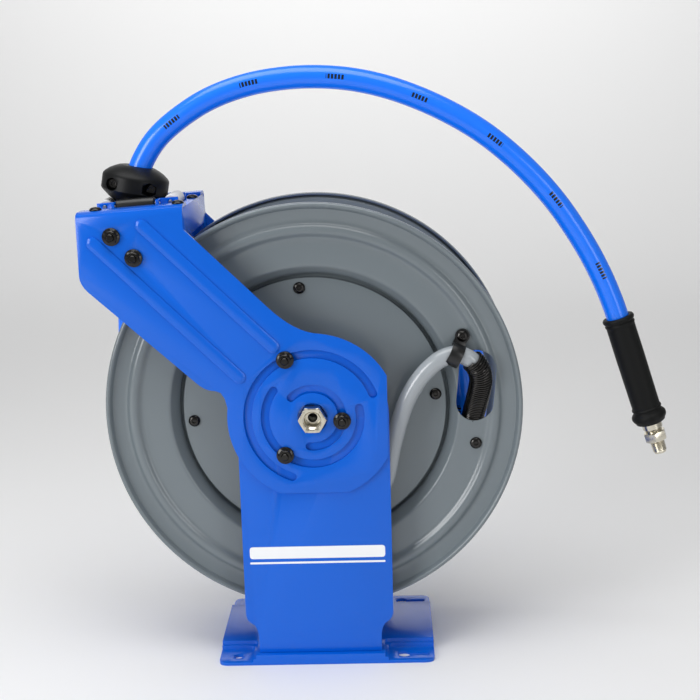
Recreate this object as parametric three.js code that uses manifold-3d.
// Spring-driven air-hose reel with two guide arms.
// Millimetres, +X right, +Y to the rear, +Z up. Every piece is drawn about the hub axis, which runs along Y
// halfway between the flanges; the last lines set the reel on the floor with its origin under the middle of
// its footprint.
import * as THREE from "three";
import { mergeVertices } from "three/addons/utils/BufferGeometryUtils.js";
import Module from "manifold-3d";

const wasm = await Module();
wasm.setup();

// ---- Driving dimensions ----
const clearance = 0.3; // between faces that touch on the real reel
const hubHeight = 236; // hub axis above the floor
const frameWidth = 150; // over the two guide arms
const armSheet = 3;
const uprightSheet = 3.4;

const flangeRadius = 190;
const drumWidth = 107.5; // over the two flange rims
const flangeSheet = 1.5;
const faceDepth = 8; // the flange's flat face, behind its rim
const faceInner = 133.5;
const faceOuter = 158;
const lipDepth = 19.3; // the lip that carries the hub covers, behind the rim
const lipOuter = 122.6;
const lipInner = 107;
const coverRadius = 121;
const coverSheet = 2;
const coverScrewCircle = 112;
const coreRadius = 108;
const coreSheet = 2;

const hoseDiameter = 21;
const leaderDiameter = 16;
const windingRadius = 164;
const windingFront = 23.5; // the wound hose starts here, in front of the middle plane
const guardWall = 2.2;

const axleRadius = 11;
const axleEndRadius = 8;
const axleReach = 85; // the axle's rear end, from the middle plane
const axleBore = 7.4;
const bearingWall = 5;
const swivelWall = 8;
const outletLength = 11;
const outletAngle = 225; // degrees from +X towards +Z
const inletFlats = 22.3;
const inletProud = 10; // the inlet's hexagon stands this far out of the front arm
const inletBore = 4.3;
const inletThreadRadius = 7.7;

const springWidth = 46;
const springSheet = 1.2;
const springTurns = 6;
const springInner = 27;
const springOuter = 99;
const caseSheet = 1.5;
const caseRadius = 104;
const arborWall = 8;

const ratchetRadius = 62;
const ratchetTeeth = 12;
const ratchetSheet = 4;
const notchWidth = 13.6;
const notchDepth = 8;
const notchAngle = -70;
const pawlPivot = { x: 54, z: -68 };
const pawlPinRadius = 4;
const pawlHubRadius = 9;
const pawlLength = 39;
const pawlArm = 7;

const uprightHalf = 68.3;
const uprightFoot = 57;
const notchTop = 47; // where the upright starts to narrow, above the base
const uprightFlange = 28;

const baseLeft = 95; // from the hub axis to the base's left edge
const baseRight = 106;
const baseDepth = 153.4;
const baseRise = 10; // top of the raised platform above the floor
const baseSheet = 3;
const footDepth = 29;
const baseCorner = 9;
const boltAcross = 77.7; // floor holes, to either side of the hub axis
const boltAlong = 63; // floor holes, in front of and behind the middle plane
const floorHole = 4.5;
const keyholeRadius = 6;
const keySlotRadius = 2.9;
const keySlotLength = 20.8;

const armHubRadius = 76.5;
const armFlatRight = 67;
const armFlatBottom = 70;
const armUpperLine = 64.5; // x + z along the arm's upper edge
const armLowerLine = -68.4; // x + z along the arm's lower edge
const headLeft = -200.5;
const headRight = -107;
const headTopLeft = 187.5;
const headTopRight = 193.1;
const headFlange = 26;
const slotWidth = 7.6;
const boltRadius = 3.1;
const hubBolts = [
  { radius: 58.2, angle: 113, from: 21, to: 250 },
  { radius: 26.5, angle: -7, from: -97, to: 135 },
  { radius: 42.6, angle: 233, from: 143, to: 371 },
];
const ribLines = [32.7, -25.4]; // x + z along each pressed rib
const ribEnds = [-33, -64]; // x of each rib's lower end
const ribWidth = 12;
const ribRise = 2.5;
const headBolts = [
  { x: -170, z: 166.5 },
  { x: -151.5, z: 147.5 },
];

const bracketSheet = 3;
const bracketSideDrop = 44;
const mouthX = -154.5; // middle of the hose mouth
const rollerRadius = 6.8;
const sideRollerOffset = 30;
const endRollerOffset = 31;
const sideRollerLength = 41;
const endRollerLength = 35;
const rollerAxisRise = -1; // roller axes against the top of the head
const rollerPinRadius = 1.8;
const earSheet = 2.5;
const earRise = 3;

const stopCentre = { x: -159.9, z: 205.9 };
const stopTilt = 11; // degrees that the stop leans to the right
const stopRadius = 30.5;
const stopScrewOffset = 17;
const stopScrewRadius = 2.4;

const gripLength = 107.5;
const gripStart = { x: 283.4, z: 71.7 };
const gripLean = 17.9; // degrees from straight down
const gripRadius = 13.6;
const fittingFlats = 19;
const fittingThreadRadius = 6.9;

// The hose from the stop to the grip, as x and z in the middle plane.
const hoseRoute = [
  [-163.3, 188.6], [-159.3, 207], [-151.5, 227], [-137, 247.5], [-115, 265.5], [-88, 281], [-56, 291.8],
  [-24, 297], [8, 298], [40, 295], [72, 287.5], [104, 275.5], [134, 260.5], [160, 244], [184, 224.5],
  [206, 203], [226, 179.5], [244, 153.5], [258, 130], [269.5, 107], [277.5, 88], [283.4, 71.7], [289.5, 52.8],
];
// The leader hose from the swivel outlet to its coupling inside the drum, as x, y and z.
const leaderStart = (axleRadius + clearance + swivelWall + outletLength + 1.38) / Math.SQRT2;
const leaderRoute = [
  [-leaderStart, -52.5, -leaderStart], [-33, -52.5, -36], [-37, -52.5, -60], [-25, -52.5, -90], [7, -52.5, -107.5],
  [42, -52.7, -98], [62, -53, -70], [72, -53.5, -31], [77.6, -54, -10.9], [86, -54.8, 11.4],
  [97, -55.8, 29.4], [110, -56.6, 43], [121, -56.8, 49.5], [132, -56.8, 50.8], [142, -56.6, 46.5],
  [149, -54, 38], [152, -50, 27], [151, -45, 15.5], [149, -39.5, 4], [146.5, -35.8, -8], [143, -34.8, -22],
];

// ---- Sizes that follow from them ----
const floor = -hubHeight;
const rim = drumWidth / 2;
const armOuter = frameWidth / 2;
const armInner = armOuter - armSheet;
const uprightOuter = armInner - clearance;
const uprightInner = uprightOuter - uprightSheet;
const coverBack = rim - lipDepth + clearance; // inner face of a hub cover
const coverFace = coverBack + coverSheet;
const lipBack = rim - lipDepth - flangeSheet;
const fitRadius = axleRadius + clearance;
const headSlope = Math.atan2(headTopRight - headTopLeft, headRight - headLeft);
const mouthTop = headTopLeft + (mouthX - headLeft) * Math.tan(headSlope);

// ---- Finishes ----
const finish = (color, roughness, metalness) => new THREE.MeshStandardMaterial({ color, roughness, metalness });
const bluePaint = () => finish(0x1d5fd0, 0.35, 0.1);
const greyEnamel = () => finish(0x737d80, 0.3, 0.1);
const blackOxide = () => finish(0x161616, 0.4, 0.7);
const steel = () => finish(0x9fa3a6, 0.35, 0.9);
const brass = () => finish(0xb89a55, 0.35, 0.9);
const nickel = () => finish(0xd9d6c8, 0.25, 0.9);
const blackRubber = () => finish(0x101010, 0.75, 0);
const blackNylon = () => finish(0x141414, 0.5, 0);
const paleNylon = () => finish(0xc9cacc, 0.45, 0);
const blueHose = () => finish(0x1f78ff, 0.35, 0);
const greyHose = () => finish(0xa7a9ae, 0.4, 0);

// ---- Solids ----
function solid(geometry) {
  const bare = geometry.clone();
  bare.deleteAttribute("normal");
  bare.deleteAttribute("uv");
  const merged = mergeVertices(bare, 1e-4);
  const vertProperties = merged.attributes.position.array;
  const build = (triVerts) => new wasm.Manifold(new wasm.Mesh({ numProp: 3, vertProperties, triVerts }));
  const made = build(new Uint32Array(merged.index.array));
  if (made.volume() > 0) return made;
  return build(new Uint32Array(merged.index.array).reverse());
}

function surface(manifold) {
  const mesh = manifold.getMesh();
  const geometry = new THREE.BufferGeometry();
  geometry.setAttribute("position", new THREE.BufferAttribute(new Float32Array(mesh.vertProperties), 3));
  geometry.setIndex(new THREE.BufferAttribute(new Uint32Array(mesh.triVerts), 1));
  return geometry;
}

const join = (...pieces) => surface(pieces.map(solid).reduce((a, b) => a.add(b)));
const cut = (body, ...tools) => surface(tools.map(solid).reduce((a, b) => a.subtract(b), solid(body)));
const common = (a, b) => surface(solid(a).intersect(solid(b)));

const radians = THREE.MathUtils.degToRad;
const polar = (radius, degrees) => ({
  x: radius * Math.cos(radians(degrees)),
  z: radius * Math.sin(radians(degrees)),
});

// A round bar along Y between two planes.
function rod(radius, y0, y1, { x = 0, z = 0, sides = 24 } = {}) {
  return new THREE.CylinderGeometry(radius, radius, y1 - y0, sides).translate(x, (y0 + y1) / 2, z);
}

// A hexagonal bar along Y with two corners on the X axis.
function hexBar(flats, y0, y1, { x = 0, z = 0 } = {}) {
  const corner = flats / Math.sqrt(3);
  return new THREE.CylinderGeometry(corner, corner, y1 - y0, 6).rotateY(Math.PI / 6).translate(x, (y0 + y1) / 2, z);
}

// A round bar along X.
const crossRod = (radius, x0, x1, y, z, sides = 16) =>
  new THREE.CylinderGeometry(radius, radius, x1 - x0, sides).rotateZ(Math.PI / 2).translate((x0 + x1) / 2, y, z);

// A round bar along Z.
const post = (radius, z0, z1, x, y, sides = 16) =>
  new THREE.CylinderGeometry(radius, radius, z1 - z0, sides).rotateX(Math.PI / 2).translate(x, y, (z0 + z1) / 2);

function block([x0, x1], [y0, y1], [z0, z1]) {
  return new THREE.BoxGeometry(x1 - x0, y1 - y0, z1 - z0).translate((x0 + x1) / 2, (y0 + y1) / 2, (z0 + z1) / 2);
}

// A ring or disc about the hub axis from its outline in radius and y.
function turned(outline, sides = 42) {
  const points = outline.map(([r, y]) => new THREE.Vector2(r, y));
  points.push(points[0].clone());
  return new THREE.LatheGeometry(points, sides);
}

const ring = (inner, outer, y0, y1, sides = 32) =>
  turned([[inner, y0], [outer, y0], [outer, y1], [inner, y1]], sides);

// A plate whose outline is drawn in x and z, between two planes of y.
function plate(shape, y0, y1, curveSegments = 12) {
  const depth = y1 - y0;
  return new THREE.ExtrudeGeometry(shape, { depth, bevelEnabled: false, curveSegments })
    .rotateX(Math.PI / 2)
    .translate(0, y1, 0);
}

function polygon(points) {
  return new THREE.Shape(points.map(([a, b]) => new THREE.Vector2(a, b)));
}

function roundSection(radius, sides) {
  const shape = new THREE.Shape();
  for (let i = 0; i < sides; i++) {
    const p = polar(radius, (360 * i) / sides);
    if (i) shape.lineTo(p.x, p.z);
    else shape.moveTo(p.x, p.z);
  }
  shape.closePath();
  return shape;
}

const through = (points) => new THREE.CatmullRomCurve3(points.map((p) => new THREE.Vector3(...p)), false, "centripetal");

function tube(path, radius, { steps = 40, sides = 10, bore = 0 } = {}) {
  const section = roundSection(radius, sides);
  if (bore) section.holes.push(new THREE.Path(roundSection(bore, sides).getPoints()));
  return new THREE.ExtrudeGeometry(section, { steps, extrudePath: path, curveSegments: 1, bevelEnabled: false });
}

// The stretch of a curve between two shares of its length.
function stretch(path, from, to, count = 14) {
  const points = [];
  for (let i = 0; i <= count; i++) points.push(path.getPointAt(from + ((to - from) * i) / count));
  return new THREE.CatmullRomCurve3(points, false, "centripetal");
}

// An outline of sheet metal from the line of its outer face, thickened to the left of its direction.
function sheet(face, thickness) {
  const back = face.map((point, i) => {
    const before = face[Math.max(i - 1, 0)];
    const after = face[Math.min(i + 1, face.length - 1)];
    const unit = ([ax, ay], [bx, by]) => {
      const length = Math.hypot(bx - ax, by - ay) || 1;
      return [(bx - ax) / length, (by - ay) / length];
    };
    const a = i ? unit(before, point) : unit(point, after);
    const b = i < face.length - 1 ? unit(point, after) : a;
    const normal = [-(a[1] + b[1]) / 2, (a[0] + b[0]) / 2];
    const share = thickness / (normal[0] ** 2 + normal[1] ** 2);
    return [point[0] + normal[0] * share, point[1] + normal[1] * share];
  });
  return [...face, ...back.reverse()];
}

// ---- The assembly ----
const reel = new THREE.Group();
function add(name, geometry, material, group = reel) {
  const mesh = new THREE.Mesh(surface(solid(geometry)), material);
  mesh.name = name;
  group.add(mesh);
}

// A flanged hexagon nut on its bolt. front is -1 on the front of the reel and +1 on the rear.
function clampBolt(name, { x, z }, front, outerFace, innerFace) {
  const y = (a, b) => [Math.min(front * a, front * b), Math.max(front * a, front * b)];
  const out = outerFace + clearance;
  const inside = innerFace - clearance;
  const nutFlange = rod(8, ...y(out, out + 1.8), { x, z, sides: 16 });
  const nut = hexBar(11, ...y(out, out + 6.2), { x, z });
  const shank = rod(boltRadius, ...y(inside - 1, out + 8), { x, z, sides: 10 });
  const head = rod(6.5, ...y(inside - 3, inside), { x, z, sides: 12 });
  add(name, join(nutFlange, nut, shank, head), blackOxide());
}

// ---- Base ----
function footStrip(x0, x1) {
  const half = baseDepth / 2;
  const step = half - footDepth;
  const ledge = (baseRise + baseSheet) / 2;
  const top = [[-half, baseSheet], [-step, baseSheet], [-step + 1, ledge], [-step + 3, ledge], [-step + 4.5, baseRise]];
  const under = [[-step + 8, baseRise - baseSheet], [-step + 6.5, ledge - baseSheet], [-step + 3, ledge - baseSheet],
    [-step + 2.5, 0], [-half, 0]];
  const mirrored = (points) => points.map(([y, z]) => [-y, z]).reverse();
  const outline = polygon([...top, ...mirrored(top), ...mirrored(under), ...under]);
  return new THREE.ExtrudeGeometry(outline, { depth: x1 - x0, bevelEnabled: false })
    .rotateX(Math.PI / 2)
    .rotateZ(Math.PI / 2)
    .translate(x0, 0, floor);
}

function baseOutline() {
  const [x0, x1, y0, y1] = [-baseLeft, baseRight, -baseDepth / 2, baseDepth / 2];
  const c = baseCorner;
  const shape = new THREE.Shape();
  shape.moveTo(x0 + c, y0).lineTo(x1 - c, y0).absarc(x1 - c, y0 + c, c, -Math.PI / 2, 0);
  shape.lineTo(x1, y1 - c).absarc(x1 - c, y1 - c, c, 0, Math.PI / 2);
  shape.lineTo(x0 + c, y1).absarc(x0 + c, y1 - c, c, Math.PI / 2, Math.PI);
  shape.lineTo(x0, y0 + c).absarc(x0 + c, y0 + c, c, Math.PI, Math.PI * 1.5);
  return shape;
}

function basePlate() {
  const half = baseDepth / 2;
  const web = uprightFoot + baseSheet;
  const parts = [footStrip(-baseLeft, -web + 1), footStrip(web - 1, baseRight)];
  parts.push(block([-web, web], [-half, half], [floor + baseRise - baseSheet, floor + baseRise]));
  for (const side of [-1, 1]) {
    const lip = side < 0 ? [-half, -half + baseSheet] : [half - baseSheet, half];
    parts.push(block([-web, web], lip, [floor + 4, floor + baseRise]));
    const wall = side < 0 ? [-web, -web + baseSheet] : [web - baseSheet, web];
    for (const end of [-1, 1]) {
      const along = end < 0 ? [-half, -half + footDepth + 6] : [half - footDepth - 6, half];
      parts.push(block(wall, along, [floor, floor + baseRise]));
    }
  }
  const mould = new THREE.ExtrudeGeometry(baseOutline(), { depth: baseRise, bevelEnabled: false, curveSegments: 5 });
  const stamped = common(join(...parts), mould.translate(0, 0, floor));
  const holes = [];
  const through0 = floor - 1;
  const through1 = floor + baseRise;
  for (const y of [-boltAlong, boltAlong]) {
    holes.push(post(floorHole, through0, through1, -boltAcross, y));
    holes.push(post(keyholeRadius, through0, through1, boltAcross, y));
    holes.push(post(keySlotRadius, through0, through1, boltAcross + keySlotLength, y, 14));
    holes.push(
      block([boltAcross, boltAcross + keySlotLength], [y - keySlotRadius, y + keySlotRadius], [through0, through1]),
    );
  }
  return cut(stamped, ...holes);
}
add("base_plate", basePlate(), bluePaint());

// ---- Uprights ----
function uprightOutline() {
  const bottom = floor + baseRise + clearance;
  const shoulder = floor + notchTop;
  const shape = new THREE.Shape();
  shape.moveTo(-uprightFoot, bottom).lineTo(uprightFoot, bottom).lineTo(uprightFoot, shoulder - 22);
  shape.quadraticCurveTo(uprightFoot, shoulder - 12, uprightFoot + 5, shoulder - 9);
  shape.quadraticCurveTo(uprightHalf, shoulder - 5, uprightHalf, shoulder);
  shape.lineTo(uprightHalf, 0).absarc(0, 0, uprightHalf, 0, Math.PI);
  shape.lineTo(-uprightHalf, shoulder);
  shape.quadraticCurveTo(-uprightHalf, shoulder - 5, -uprightFoot - 5, shoulder - 9);
  shape.quadraticCurveTo(-uprightFoot, shoulder - 12, -uprightFoot, shoulder - 22);
  return shape;
}

function upright(front, axleHole, extraHoles = []) {
  const faces = front < 0 ? [-uprightOuter, -uprightInner] : [uprightInner, uprightOuter];
  const bottom = floor + baseRise + clearance;
  const inward = front < 0 ? [-uprightOuter, -uprightOuter + uprightFlange] : [uprightOuter - uprightFlange, uprightOuter];
  const wall = plate(uprightOutline(), ...faces);
  const foot = block([-uprightFoot, uprightFoot], inward, [bottom, bottom + uprightSheet]);
  const reach = [faces[0] - 1, faces[1] + 1];
  const holes = hubBolts.map(({ radius, angle }) =>
    rod(boltRadius + clearance, ...reach, { ...polar(radius, angle), sides: 14 }),
  );
  holes.push(rod(axleHole, ...reach), ...extraHoles.map(([r, p]) => rod(r, ...reach, { ...p, sides: 16 })));
  return cut(join(wall, foot), ...holes);
}
add("front_upright", upright(-1, fitRadius), bluePaint());
add("rear_upright", upright(1, axleEndRadius + clearance, [[pawlPinRadius + clearance, pawlPivot]]), bluePaint());

// ---- Axle, its collar and nut, and the arbor that holds the spring's inner end ----
const axleFront = -uprightOuter + 0.2;
const axleShoulder = uprightInner - clearance;
const swivelMiddle = leaderRoute[0][1];
const boreEnd = swivelMiddle + 5;
const port = new THREE.CylinderGeometry(3, 3, axleRadius + 2, 10)
  .rotateZ(-Math.PI / 2)
  .translate((axleRadius + 2) / 2, 0, 0)
  .rotateY(-radians(outletAngle))
  .translate(0, swivelMiddle, 0);
add(
  "main_axle",
  cut(
    join(rod(axleRadius, axleFront, axleShoulder, { sides: 28 }), rod(axleEndRadius, axleShoulder - 1, axleReach)),
    rod(axleBore, axleFront - 1, boreEnd),
    port,
  ),
  steel(),
);
add("axle_collar", ring(fitRadius, fitRadius + 6, -uprightInner + clearance, -uprightInner + 6), steel());
add(
  "axle_nut",
  cut(hexBar(24, uprightOuter + clearance, uprightOuter + 10), rod(axleEndRadius + clearance, armInner - 2, axleReach)),
  blackOxide(),
);
const springBack = -coverBack + 7;
const springMiddle = springBack + springWidth / 2;
const arborRadius = axleRadius + clearance + arborWall;
const arborHalf = springWidth / 2 + 2;
add(
  "spring_arbor",
  join(
    ring(fitRadius, arborRadius, springMiddle - arborHalf, springMiddle + arborHalf),
    block([arborRadius - 2, arborRadius + 3.5], [springMiddle - 18, springMiddle + 18], [-2, 2]),
  ),
  steel(),
);

// ---- Drum: two stamped flanges on a core ----
// The outer face of a flange from its lip to its curled rim, as radius and depth behind the rim plane.
const flangeFace = [
  [lipInner, lipDepth], [lipOuter, lipDepth], [faceInner - 2, faceDepth + 1.2], [faceInner, faceDepth],
  [faceOuter, faceDepth], [faceOuter + 5, faceDepth - 3.8], [faceOuter + 8.5, faceDepth - 3.8],
  [faceOuter + 14, faceDepth], [flangeRadius - 6, 5], [flangeRadius - 4, 0.8], [flangeRadius - 2, 0],
  [flangeRadius, 2.5], [flangeRadius, 8],
];
const openingMiddle = { x: 148, z: 19.5 };
const openingRadius = 16.7;
const openingHalf = 33.2;
const clampAt = { x: 131.5, z: 49.9 };
const clampAngle = 82;
const clampReach = 16.5;
const clampScrewAt = {
  x: clampAt.x + clampReach * Math.cos(radians(clampAngle)),
  z: clampAt.z + clampReach * Math.sin(radians(clampAngle)),
};
const flangeScrewAt = polar(151.5, -13.2);
const screwShank = 2.5;

function hoseOpening() {
  const straight = openingHalf - openingRadius;
  const shape = new THREE.Shape();
  shape.absarc(0, straight, openingRadius, 0, Math.PI).absarc(0, -straight, openingRadius, Math.PI, 2 * Math.PI);
  return plate(shape, -rim - 5, -rim + 40, 14).rotateY(radians(5)).translate(openingMiddle.x, 0, openingMiddle.z);
}

function screwHoles(points, y0, y1) {
  return points.map((p) => rod(screwShank + clearance, y0, y1, { ...p, sides: 12 }));
}

const frontFlange = turned(sheet(flangeFace.map(([r, d]) => [r, d - rim]), flangeSheet));
const rearFlange = turned(sheet(flangeFace.map(([r, d]) => [r, d - rim]), flangeSheet).map(([r, y]) => [r, -y]));
const flangeHoles = screwHoles([clampScrewAt, flangeScrewAt], -rim, -rim + 30);
add("front_flange", cut(frontFlange, hoseOpening(), ...flangeHoles), greyEnamel());
add("rear_flange", rearFlange, greyEnamel());
const coreHalf = lipBack - clearance;
add("drum_core", ring(coreRadius - coreSheet, coreRadius, -coreHalf, coreHalf, 40), greyEnamel());

const bearingRadius = fitRadius + bearingWall;
const coverHole = bearingRadius + clearance;
add("front_cover", ring(coverHole, coverRadius, -coverFace, -coverBack, 42), greyEnamel());
add("rear_cover", ring(coverHole, coverRadius, coverBack, coverFace, 42), greyEnamel());

// A flanged bearing bush in each cover. front is -1 or +1 as for the bolts.
function bearing(name, front) {
  const place = ([r, y]) => [r, front * y];
  const flange = coverFace + clearance;
  const outline = [[fitRadius, coverBack - 5], [bearingRadius, coverBack - 5], [bearingRadius, flange],
    [bearingRadius + 5, flange], [bearingRadius + 5, flange + 2], [fitRadius, flange + 2]];
  add(name, turned(outline.map(place), 28), brass());
}
bearing("front_bearing", -1);
bearing("rear_bearing", 1);

// ---- Spring case and mainspring ----
const caseFront = -coverBack + clearance;
const caseRear = springMiddle + arborHalf + 3;
add(
  "spring_case",
  turned([
    [caseRadius - caseSheet, caseFront], [caseRadius, caseFront], [caseRadius, caseRear],
    [arborRadius + 6, caseRear], [arborRadius + 6, caseRear - caseSheet], [caseRadius - caseSheet, caseRear - caseSheet],
  ]),
  steel(),
);

// The spring is a flat strip wound into a spiral, drawn as its outer edge out and its inner edge back.
function mainspring() {
  const steps = springTurns * 16;
  const edge = (offset) => {
    const points = [];
    for (let i = 0; i <= steps; i++) {
      const share = i / steps;
      const p = polar(springInner + (springOuter - springInner) * share + offset, 360 * springTurns * share);
      points.push([p.x, p.z]);
    }
    return points;
  };
  const strip = [...edge(springSheet / 2), ...edge(-springSheet / 2).reverse()];
  return plate(polygon(strip), springBack, springBack + springWidth);
}
add("mainspring", mainspring(), steel());

// ---- Ratchet wheel, pawl and pin ----
const ratchetBack = coverFace + clearance;
const ratchetFace = [ratchetBack + 7, ratchetBack + 7 + ratchetSheet];
function ratchetWheel() {
  const wheel = turned([
    [34, ratchetBack], [50, ratchetBack], [50, ratchetFace[0]], [ratchetRadius, ratchetFace[0]],
    [ratchetRadius, ratchetFace[1]], [34, ratchetFace[1]],
  ], 40);
  const notches = [];
  for (let i = 0; i < ratchetTeeth; i++) {
    const angle = notchAngle + (360 * i) / ratchetTeeth;
    const notch = block([ratchetRadius - notchDepth, ratchetRadius + 4], [ratchetFace[0] - 1, ratchetFace[1] + 1],
      [-notchWidth / 2, notchWidth / 2]);
    notches.push(notch.rotateY(-radians(angle)));
  }
  return cut(wheel, ...notches);
}
add("ratchet_wheel", ratchetWheel(), steel());

const pawlFace = [ratchetFace[0] + clearance, ratchetFace[1] - clearance];
function pawl() {
  const { x, z } = pawlPivot;
  const tip = x - pawlLength;
  const arm = polygon([
    [x, z + pawlArm / 2 + 1], [tip + 6, z + 0.5], [tip + 6, z + 4.5], [tip, z + 4.5], [tip, z - pawlArm + 2],
    [x, z - pawlArm / 2 - 1],
  ]);
  const body = join(rod(pawlHubRadius, ...pawlFace, { x, z, sides: 20 }), plate(arm, ...pawlFace));
  return cut(body, rod(pawlPinRadius + clearance, pawlFace[0] - 1, pawlFace[1] + 1, { x, z, sides: 16 }));
}
add("latch_pawl", pawl(), steel());
function pawlPin() {
  const neck = [pawlFace[0] - 1.5, uprightOuter + clearance + 1];
  const spacer = [pawlFace[1] + clearance, uprightInner - clearance];
  return join(
    rod(pawlPinRadius, ...neck, { ...pawlPivot, sides: 16 }),
    rod(6, pawlFace[0] - 3, pawlFace[0] - clearance, { ...pawlPivot, sides: 16 }),
    rod(6, ...spacer, { ...pawlPivot, sides: 16 }),
    rod(6, uprightOuter + clearance, uprightOuter + 2.5, { ...pawlPivot, sides: 16 }),
  );
}
add("pawl_pin", pawlPin(), blackOxide());

// ---- Swivel: the inlet turns in the axle's bore and feeds the outlet that turns with the drum ----
const inletFront = -armOuter - inletProud;
add(
  "inlet_fitting",
  cut(
    join(hexBar(inletFlats, inletFront, -armInner), rod(axleBore - clearance, -armInner - 1, boreEnd - 10)),
    rod(inletThreadRadius, inletFront - 1, inletFront + 11),
    rod(inletBore, inletFront, boreEnd),
  ),
  nickel(),
);
function swivelHousing() {
  const outer = fitRadius + swivelWall;
  const reach = outer + outletLength;
  const along = (geometry) => geometry.rotateZ(-Math.PI / 2).translate(reach / 2, 0, 0);
  const place = (geometry) => geometry.rotateY(-radians(outletAngle)).translate(0, swivelMiddle, 0);
  const spout = place(along(new THREE.CylinderGeometry(6.5, 6.5, reach, 14)));
  const bore = place(along(new THREE.CylinderGeometry(3.5, 3.5, reach + 2, 10)));
  const body = ring(fitRadius, outer, swivelMiddle - 8, swivelMiddle + 11);
  const spindle = rod(fitRadius, swivelMiddle - 9, swivelMiddle + 12, { sides: 32 });
  const halfBore = common(bore, block([-80, 0], [-80, 0], [-80, 0]));
  return cut(join(body, spout), spindle, halfBore);
}
add("swivel_housing", swivelHousing(), brass());

// ---- Leader hose, its guard, clamp and coupling ----
const leader = through(leaderRoute);
add("leader_hose", tube(leader, leaderDiameter / 2, { steps: 44, sides: 10 }), greyHose());
const guardBore = leaderDiameter / 2 + clearance;
const guard = stretch(leader, 0.832, 0.957);
add("hose_guard", tube(guard, guardBore + guardWall, { steps: 10, sides: 10, bore: guardBore + 0.4 }), blackOxide());

function hoseClamp() {
  const bore = leaderDiameter / 2 + 3.5 * clearance;
  const depth = leaderRoute[13][1]; // the leader's middle under the clamp
  const face = -rim + faceDepth - clearance; // the strap lies on the flange's flat face
  const width = 13;
  const loop = crossRod(bore + 1.6, -width / 2, width / 2, depth, 0, 20);
  const tail = block([-6, 6], [face - 2, face], [0, clampReach]);
  const end = rod(6, face - 2, face, { z: clampReach, sides: 16 });
  const tunnel = crossRod(bore, -width, width, depth, 0, 20);
  const hole = rod(screwShank + clearance, face - 4, face + 4, { z: clampReach, sides: 12 });
  return cut(join(loop, tail, end), tunnel, hole)
    .rotateY(-radians(clampAngle - 90))
    .translate(clampAt.x, 0, clampAt.z);
}
add("hose_clamp", hoseClamp(), blackNylon());

// A button-head screw through sheet metal whose outer face is at y.
function buttonScrew(name, place, y, length) {
  const dome = new THREE.SphereGeometry(5.6, 14, 8).scale(1, 0.6, 1);
  const button = common(dome, block([-8, 8], [-8, 0], [-8, 8]));
  const shank = rod(screwShank, -0.5, length, { sides: 12 });
  add(name, join(button, shank).translate(place.x, y - clearance, place.z), blackOxide());
}
buttonScrew("clamp_screw", clampScrewAt, -rim + faceDepth - clearance - 2, 8);
buttonScrew("flange_screw", flangeScrewAt, -rim + faceDepth, 2.2);

const leaderEnd = new THREE.Vector3(...leaderRoute.at(-1));
const leaderAim = leader.getTangentAt(1);
function coupling() {
  const length = 26;
  const body = new THREE.CylinderGeometry(8.5, 8.5, length, 16).translate(0, length / 2 + clearance, 0);
  const turn = new THREE.Quaternion().setFromUnitVectors(new THREE.Vector3(0, 1, 0), leaderAim);
  return body.applyQuaternion(turn).translate(leaderEnd.x, leaderEnd.y, leaderEnd.z);
}
add("hose_coupling", coupling(), brass());

// The wound hose, as the ring that its turns fill.
const wallBack = -(rim - faceDepth - flangeSheet - 1);
const coreGap = coreRadius + clearance * 2;
const windings = turned([
  [coreGap, -windingFront], [windingRadius, -windingFront], [windingRadius, -wallBack], [faceInner + 2.5, -wallBack],
  [lipOuter + 2.5, lipBack - 1], [coreGap, lipBack - 1],
]);
add("hose_windings", windings, blueHose());

// ---- Guide arms ----
function armOutline() {
  const shape = new THREE.Shape();
  const lowRight = Math.asin(-armFlatBottom / armHubRadius);
  const sideAngle = Math.acos(armFlatRight / armHubRadius);
  const blend = radians(84);
  shape.moveTo(armHubRadius * Math.cos(lowRight), -armFlatBottom);
  shape.absarc(0, 0, armHubRadius, lowRight, -sideAngle);
  shape.lineTo(armFlatRight, armHubRadius * Math.sin(sideAngle)).absarc(0, 0, armHubRadius, sideAngle, blend);
  shape.quadraticCurveTo(-13, armHubRadius + 1, -36, armUpperLine + 36);
  shape.lineTo(headRight, armUpperLine - headRight).lineTo(headRight, headTopRight);
  shape.lineTo(headLeft, headTopLeft).lineTo(headLeft, armLowerLine - headLeft + 8);
  shape.quadraticCurveTo(headLeft, armLowerLine - headLeft, headLeft + 7, armLowerLine - headLeft - 7);
  shape.lineTo(-102, armLowerLine + 102).quadraticCurveTo(-94.5, 26.5, -88, 26.5);
  shape.quadraticCurveTo(-76, 26, -armHubRadius * Math.cos(radians(8)), armHubRadius * Math.sin(radians(8)));
  shape.absarc(0, 0, armHubRadius, radians(172), Math.PI - lowRight);
  return shape;
}

function arcSlot({ radius, from, to }, y0, y1) {
  const half = slotWidth / 2;
  const points = [];
  const arc = (middle, r, a, b, count) => {
    for (let i = 0; i <= count; i++) {
      const p = polar(r, a + ((b - a) * i) / count);
      points.push([middle.x + p.x, middle.z + p.z]);
    }
  };
  const hub = { x: 0, z: 0 };
  arc(hub, radius + half, from, to, 22);
  arc(polar(radius, to), half, to + 30, to + 150, 4);
  arc(hub, radius - half, to, from, 22);
  arc(polar(radius, from), half, from + 210, from + 330, 4);
  return plate(polygon(points), y0, y1);
}

function rib(line, lowX, y0, y1) {
  const topX = line - (headTopLeft - 12);
  const highX = Math.max(topX, headLeft + 14);
  const length = (lowX - highX) * Math.SQRT2;
  const bar = new THREE.Shape();
  bar.absarc(0, 0, ribWidth / 2, -Math.PI / 2, Math.PI / 2).absarc(-length, 0, ribWidth / 2, Math.PI / 2, Math.PI * 1.5);
  return plate(bar, y0, y1, 6).rotateY(radians(45)).translate(lowX, 0, line - lowX);
}

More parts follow.
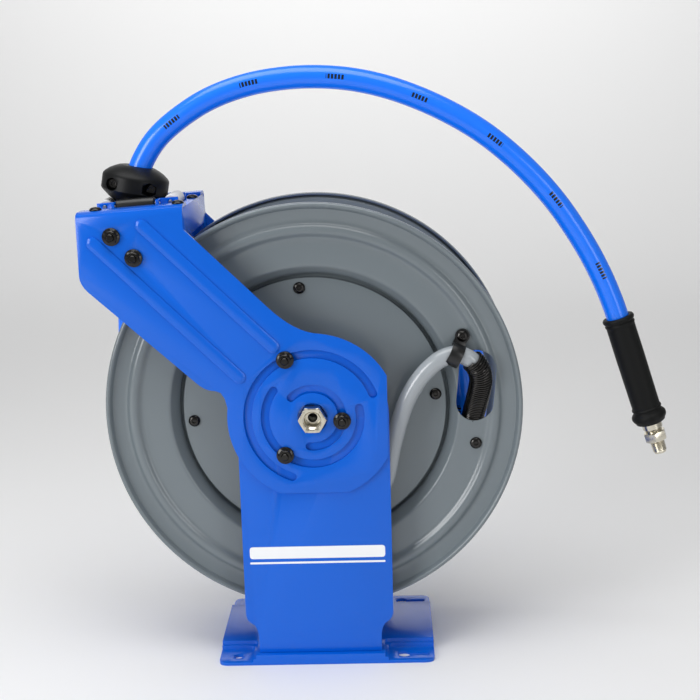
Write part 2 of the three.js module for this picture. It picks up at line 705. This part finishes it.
function guideArm(front, centreHole) {
  const side = (a, b) => (front < 0 ? [-b, -a] : [a, b]);
  const wall = plate(armOutline(), ...side(armInner, armOuter), 7);
  const lower = (x, z) => [x, z - armSheet];
  const topEdge = [[headLeft, headTopLeft], [headRight, headTopRight]];
  const fold = polygon([...topEdge, lower(...topEdge[1]), lower(...topEdge[0])]);
  const flange = plate(fold, ...side(armOuter - headFlange, armOuter));
  const ribs = ribLines.map((line, i) => rib(line, ribEnds[i], ...side(armOuter - 1, armOuter + ribRise)));
  const reach = side(armInner - 2, armOuter + 4);
  const slots = hubBolts.map((bolt) => arcSlot(bolt, ...reach));
  const holes = headBolts.map((place) => rod(boltRadius + clearance, ...reach, { ...place, sides: 14 }));
  return cut(join(wall, flange, ...ribs), rod(centreHole, ...reach, { sides: 24 }), ...slots, ...holes);
}
const inletHole = inletFlats / Math.sqrt(3) + 0.6;
add("front_guide_arm", guideArm(-1, inletHole), bluePaint());
add("rear_guide_arm", guideArm(1, 24 / Math.sqrt(3) + 3), bluePaint());
hubBolts.forEach(({ radius, angle }, i) => {
  clampBolt(`hub_bolt_front_${i + 1}`, polar(radius, angle), -1, armOuter, uprightInner);
  clampBolt(`hub_bolt_rear_${i + 1}`, polar(radius, angle), 1, armOuter, uprightInner);
});

// ---- Head: bracket, rollers and pins, drawn flat about the mouth and then sloped as the arms' tops are ----
const head = new THREE.Group();
head.position.set(mouthX, 0, mouthTop);
head.rotation.y = -headSlope;
reel.add(head);

const bracketTop = -armSheet - clearance;
const bracketY = armInner - clearance;
const bracketLeft = headLeft - mouthX + 1;
const bracketRight = headRight - mouthX - 0.3;
function rollerBracket() {
  const level = [bracketTop - bracketSheet, bracketTop];
  const drop = [bracketTop - bracketSideDrop, bracketTop];
  const topPlate = block([bracketLeft, bracketRight], [-bracketY, bracketY], level);
  const sides = [
    block([bracketLeft, bracketLeft + bracketSheet], [-bracketY, bracketY], drop),
    block([bracketRight - bracketSheet, bracketRight], [-bracketY, bracketY], drop),
  ];
  const lips = [-1, 1].map((s) => {
    const along = s < 0 ? [-bracketY, -bracketY + bracketSheet] : [bracketY - bracketSheet, bracketY];
    return block([bracketLeft, bracketRight], along, drop);
  });
  const opening = [
    block([-sideRollerOffset - 8.5, sideRollerOffset + 8.5], [-sideRollerLength / 2 - 1, sideRollerLength / 2 + 1],
      [-20, 5]),
    block([-endRollerLength / 2 - 0.5, endRollerLength / 2 + 0.5], [-endRollerOffset - 8.5, endRollerOffset + 8.5],
      [-20, 5]),
  ];
  const ears = [];
  const earHeight = [bracketTop - bracketSheet, earRise];
  const sideEar = sideRollerLength / 2 + 1.2;
  const endEar = endRollerLength / 2 + 1.2;
  for (const x of [-1, 1]) {
    for (const y of [-1, 1]) {
      const span = (s, a, b) => (s < 0 ? [-b, -a] : [a, b]);
      ears.push(block(span(x, endEar, sideRollerOffset + 7), span(y, sideEar, sideEar + earSheet), earHeight));
      ears.push(block(span(x, endEar, endEar + earSheet), span(y, sideEar, endRollerOffset + 7), earHeight));
    }
  }
  const pinHoles = [];
  const hole = rollerPinRadius + clearance;
  for (const s of [-1, 1]) {
    pinHoles.push(rod(hole, -30, 30, { x: s * sideRollerOffset, z: rollerAxisRise, sides: 12 }));
    pinHoles.push(crossRod(hole, -24, 24, s * endRollerOffset, rollerAxisRise, 12));
  }
  const drumRoom = rod(flangeRadius + 3, -rim - 3, rim + 3, { x: -mouthX, z: -mouthTop, sides: 72 });
  const blank = cut(join(topPlate, ...sides, ...lips), drumRoom, ...opening);
  const boltHoles = headBolts.map(({ x, z }) => {
    const p = new THREE.Vector3(x - mouthX, 0, z - mouthTop).applyAxisAngle(new THREE.Vector3(0, 1, 0), headSlope);
    return rod(boltRadius + clearance, -bracketY - 1, bracketY + 1, { x: p.x, z: p.z, sides: 14 });
  });
  return cut(join(blank, ...ears), ...pinHoles, ...boltHoles);
}
add("roller_bracket", rollerBracket(), bluePaint(), head);

for (const [side, name] of [[-1, "left"], [1, "right"]]) {
  const at = { x: side * sideRollerOffset, z: rollerAxisRise };
  const half = sideRollerLength / 2;
  const bore = rod(rollerPinRadius + clearance, -half - 1, half + 1, { ...at, sides: 12 });
  add(`${name}_roller`, cut(rod(rollerRadius, -half, half, at), bore), paleNylon(), head);
  add(`${name}_roller_pin`, rod(rollerPinRadius, -half - 5, half + 5, { ...at, sides: 12 }), steel(), head);
}
for (const [side, name] of [[-1, "front"], [1, "rear"]]) {
  const y = side * endRollerOffset;
  const half = endRollerLength / 2;
  const bore = crossRod(rollerPinRadius + clearance, -half - 1, half + 1, y, rollerAxisRise, 12);
  add(`${name}_roller`, cut(crossRod(rollerRadius, -half, half, y, rollerAxisRise, 24), bore), blackNylon(), head);
  add(`${name}_roller_pin`, crossRod(rollerPinRadius, -half - 4.4, half + 4.4, y, rollerAxisRise, 12), steel(), head);
}
headBolts.forEach((place, i) => {
  clampBolt(`head_bolt_front_${i + 1}`, place, -1, armOuter, bracketY - bracketSheet);
  clampBolt(`head_bolt_rear_${i + 1}`, place, 1, armOuter, bracketY - bracketSheet);
});

// ---- Hose from the drum up to the mouth ----
const leadRadius = windingRadius + hoseDiameter / 2 + 1;
const leadPoints = [];
for (let angle = 236; angle >= 182; angle -= 13.5) {
  const p = polar(leadRadius, angle);
  leadPoints.push([p.x, 0, p.z]);
}
leadPoints.push([-174.5, 0, 30], [-173, 0, 80], [-170, 0, 130], [-166.5, 0, 168], [-163.7, 0, 186.6]);
add("hose_lead", tube(through(leadPoints), hoseDiameter / 2, { steps: 26, sides: 10 }), blueHose());

// ---- Free hose, its stop, grip and end fitting ----
const freeHose = through(hoseRoute.map(([x, z]) => [x, 0, z]));
add("free_hose", tube(freeHose, hoseDiameter / 2, { steps: 46, sides: 10 }), blueHose());

const stop = new THREE.Group();
stop.position.set(stopCentre.x, 0, stopCentre.z);
stop.rotation.y = radians(stopTilt);
reel.add(stop);

// The stop's outline as radius and height along the hose.
const stopOutline = [
  [0, -17.2], [15.5, -17.2], [24, -12], [stopRadius, -6.6], [stopRadius, 6.4], [27, 10.2], [21, 13.8], [13.5, 16.8],
  [0, 16.8],
];
function stopHalf(front) {
  const points = stopOutline.map(([r, h]) => new THREE.Vector2(r, h));
  const body = new THREE.LatheGeometry(points, 28).rotateX(Math.PI / 2);
  const keep = front < 0 ? [-40, -clearance / 2] : [clearance / 2, 40];
  const half = common(body, block([-40, 40], keep, [-30, 30]));
  const local = stop.worldToLocal.bind(stop);
  stop.updateMatrixWorld(true);
  const reach = [[-168, 165], ...hoseRoute.slice(0, 5)]; // from below the stop to above it
  const path = new THREE.CatmullRomCurve3(
    reach.map(([x, z]) => local(new THREE.Vector3(x, 0, z))),
    false,
    "centripetal",
  );
  const bore = tube(path, hoseDiameter / 2 + 0.6, { steps: 14, sides: 16 });
  const tools = [bore];
  for (const s of [-1, 1]) {
    const place = { x: s * stopScrewOffset, z: -1 };
    tools.push(rod(stopScrewRadius + clearance, -40, 40, { ...place, sides: 12 }));
    const depth = front < 0 ? [-40, -14] : [14, 40];
    const socket = s * front > 0 ? rod(5.8, ...depth, { ...place, sides: 20 }) : hexBar(11.5, ...depth, place);
    tools.push(socket);
  }
  return cut(half, ...tools);
}
add("stop_front_half", stopHalf(-1), blackRubber(), stop);
add("stop_rear_half", stopHalf(1), blackRubber(), stop);
for (const [side, name] of [[-1, "left"], [1, "right"]]) {
  const place = { x: side * stopScrewOffset, z: -1 };
  const facing = [[-17, -14 - clearance], [14 + clearance, 17]];
  const [headY, nutY] = side < 0 ? facing : [...facing].reverse();
  const screw = join(
    rod(stopScrewRadius, -16, 16, { ...place, sides: 12 }),
    rod(4.6, ...headY, { ...place, sides: 16 }),
    hexBar(9.4, ...nutY, place),
  );
  add(`stop_screw_${name}`, screw, blackOxide(), stop);
}

const end = new THREE.Group();
end.position.set(gripStart.x, 0, gripStart.z);
end.rotation.y = -radians(gripLean);
reel.add(end);

// Pieces on the hose's end are turned about a line that runs down from the top of the grip.
const hung = (outline, sides = 18) =>
  new THREE.LatheGeometry(outline.map(([r, down]) => new THREE.Vector2(r, down)), sides).rotateX(-Math.PI / 2);
const gripBore = hoseDiameter / 2 + clearance;
const gripFoot = gripLength;
add(
  "hose_grip",
  hung([
    [gripBore, 0], [gripRadius + 0.8, 0.5], [gripRadius + 1.2, 3.5], [gripRadius - 0.2, 5.5], [gripRadius, 8],
    [gripRadius - 0.4, gripFoot - 17], [gripRadius + 0.6, gripFoot - 15.5], [gripRadius - 0.4, gripFoot - 13.5],
    [gripRadius + 2.7, gripFoot - 10], [gripRadius + 2.7, gripFoot - 3], [gripRadius, gripFoot],
    [gripBore - 1, gripFoot], [gripBore - 1, gripFoot - 60], [gripBore, gripFoot - 62], [gripBore, 0],
  ]),
  blackRubber(),
  end,
);
const ferruleTop = gripFoot - 30;
add(
  "end_fitting",
  join(
    hung([[0, ferruleTop], [gripBore - 1.4, ferruleTop], [gripBore - 1.4, gripFoot + 6], [7.6, gripFoot + 9],
      [fittingThreadRadius, gripFoot + 9.5], [fittingThreadRadius, gripFoot + 30], [fittingThreadRadius - 0.8, gripFoot + 31.5],
      [0, gripFoot + 31.5]]),
    new THREE.CylinderGeometry(fittingFlats / Math.sqrt(3), fittingFlats / Math.sqrt(3), 9, 6)
      .rotateX(Math.PI / 2)
      .translate(0, 0, -(gripFoot + 14)),
  ),
  nickel(),
  end,
);

// ---- On the floor, with the origin under the middle of the footprint ----
const hubAxisX = (-headLeft - flangeRadius) / 2;
reel.position.set(hubAxisX, 0, hubHeight);
const part = new THREE.Group();
part.add(reel);

export default part;
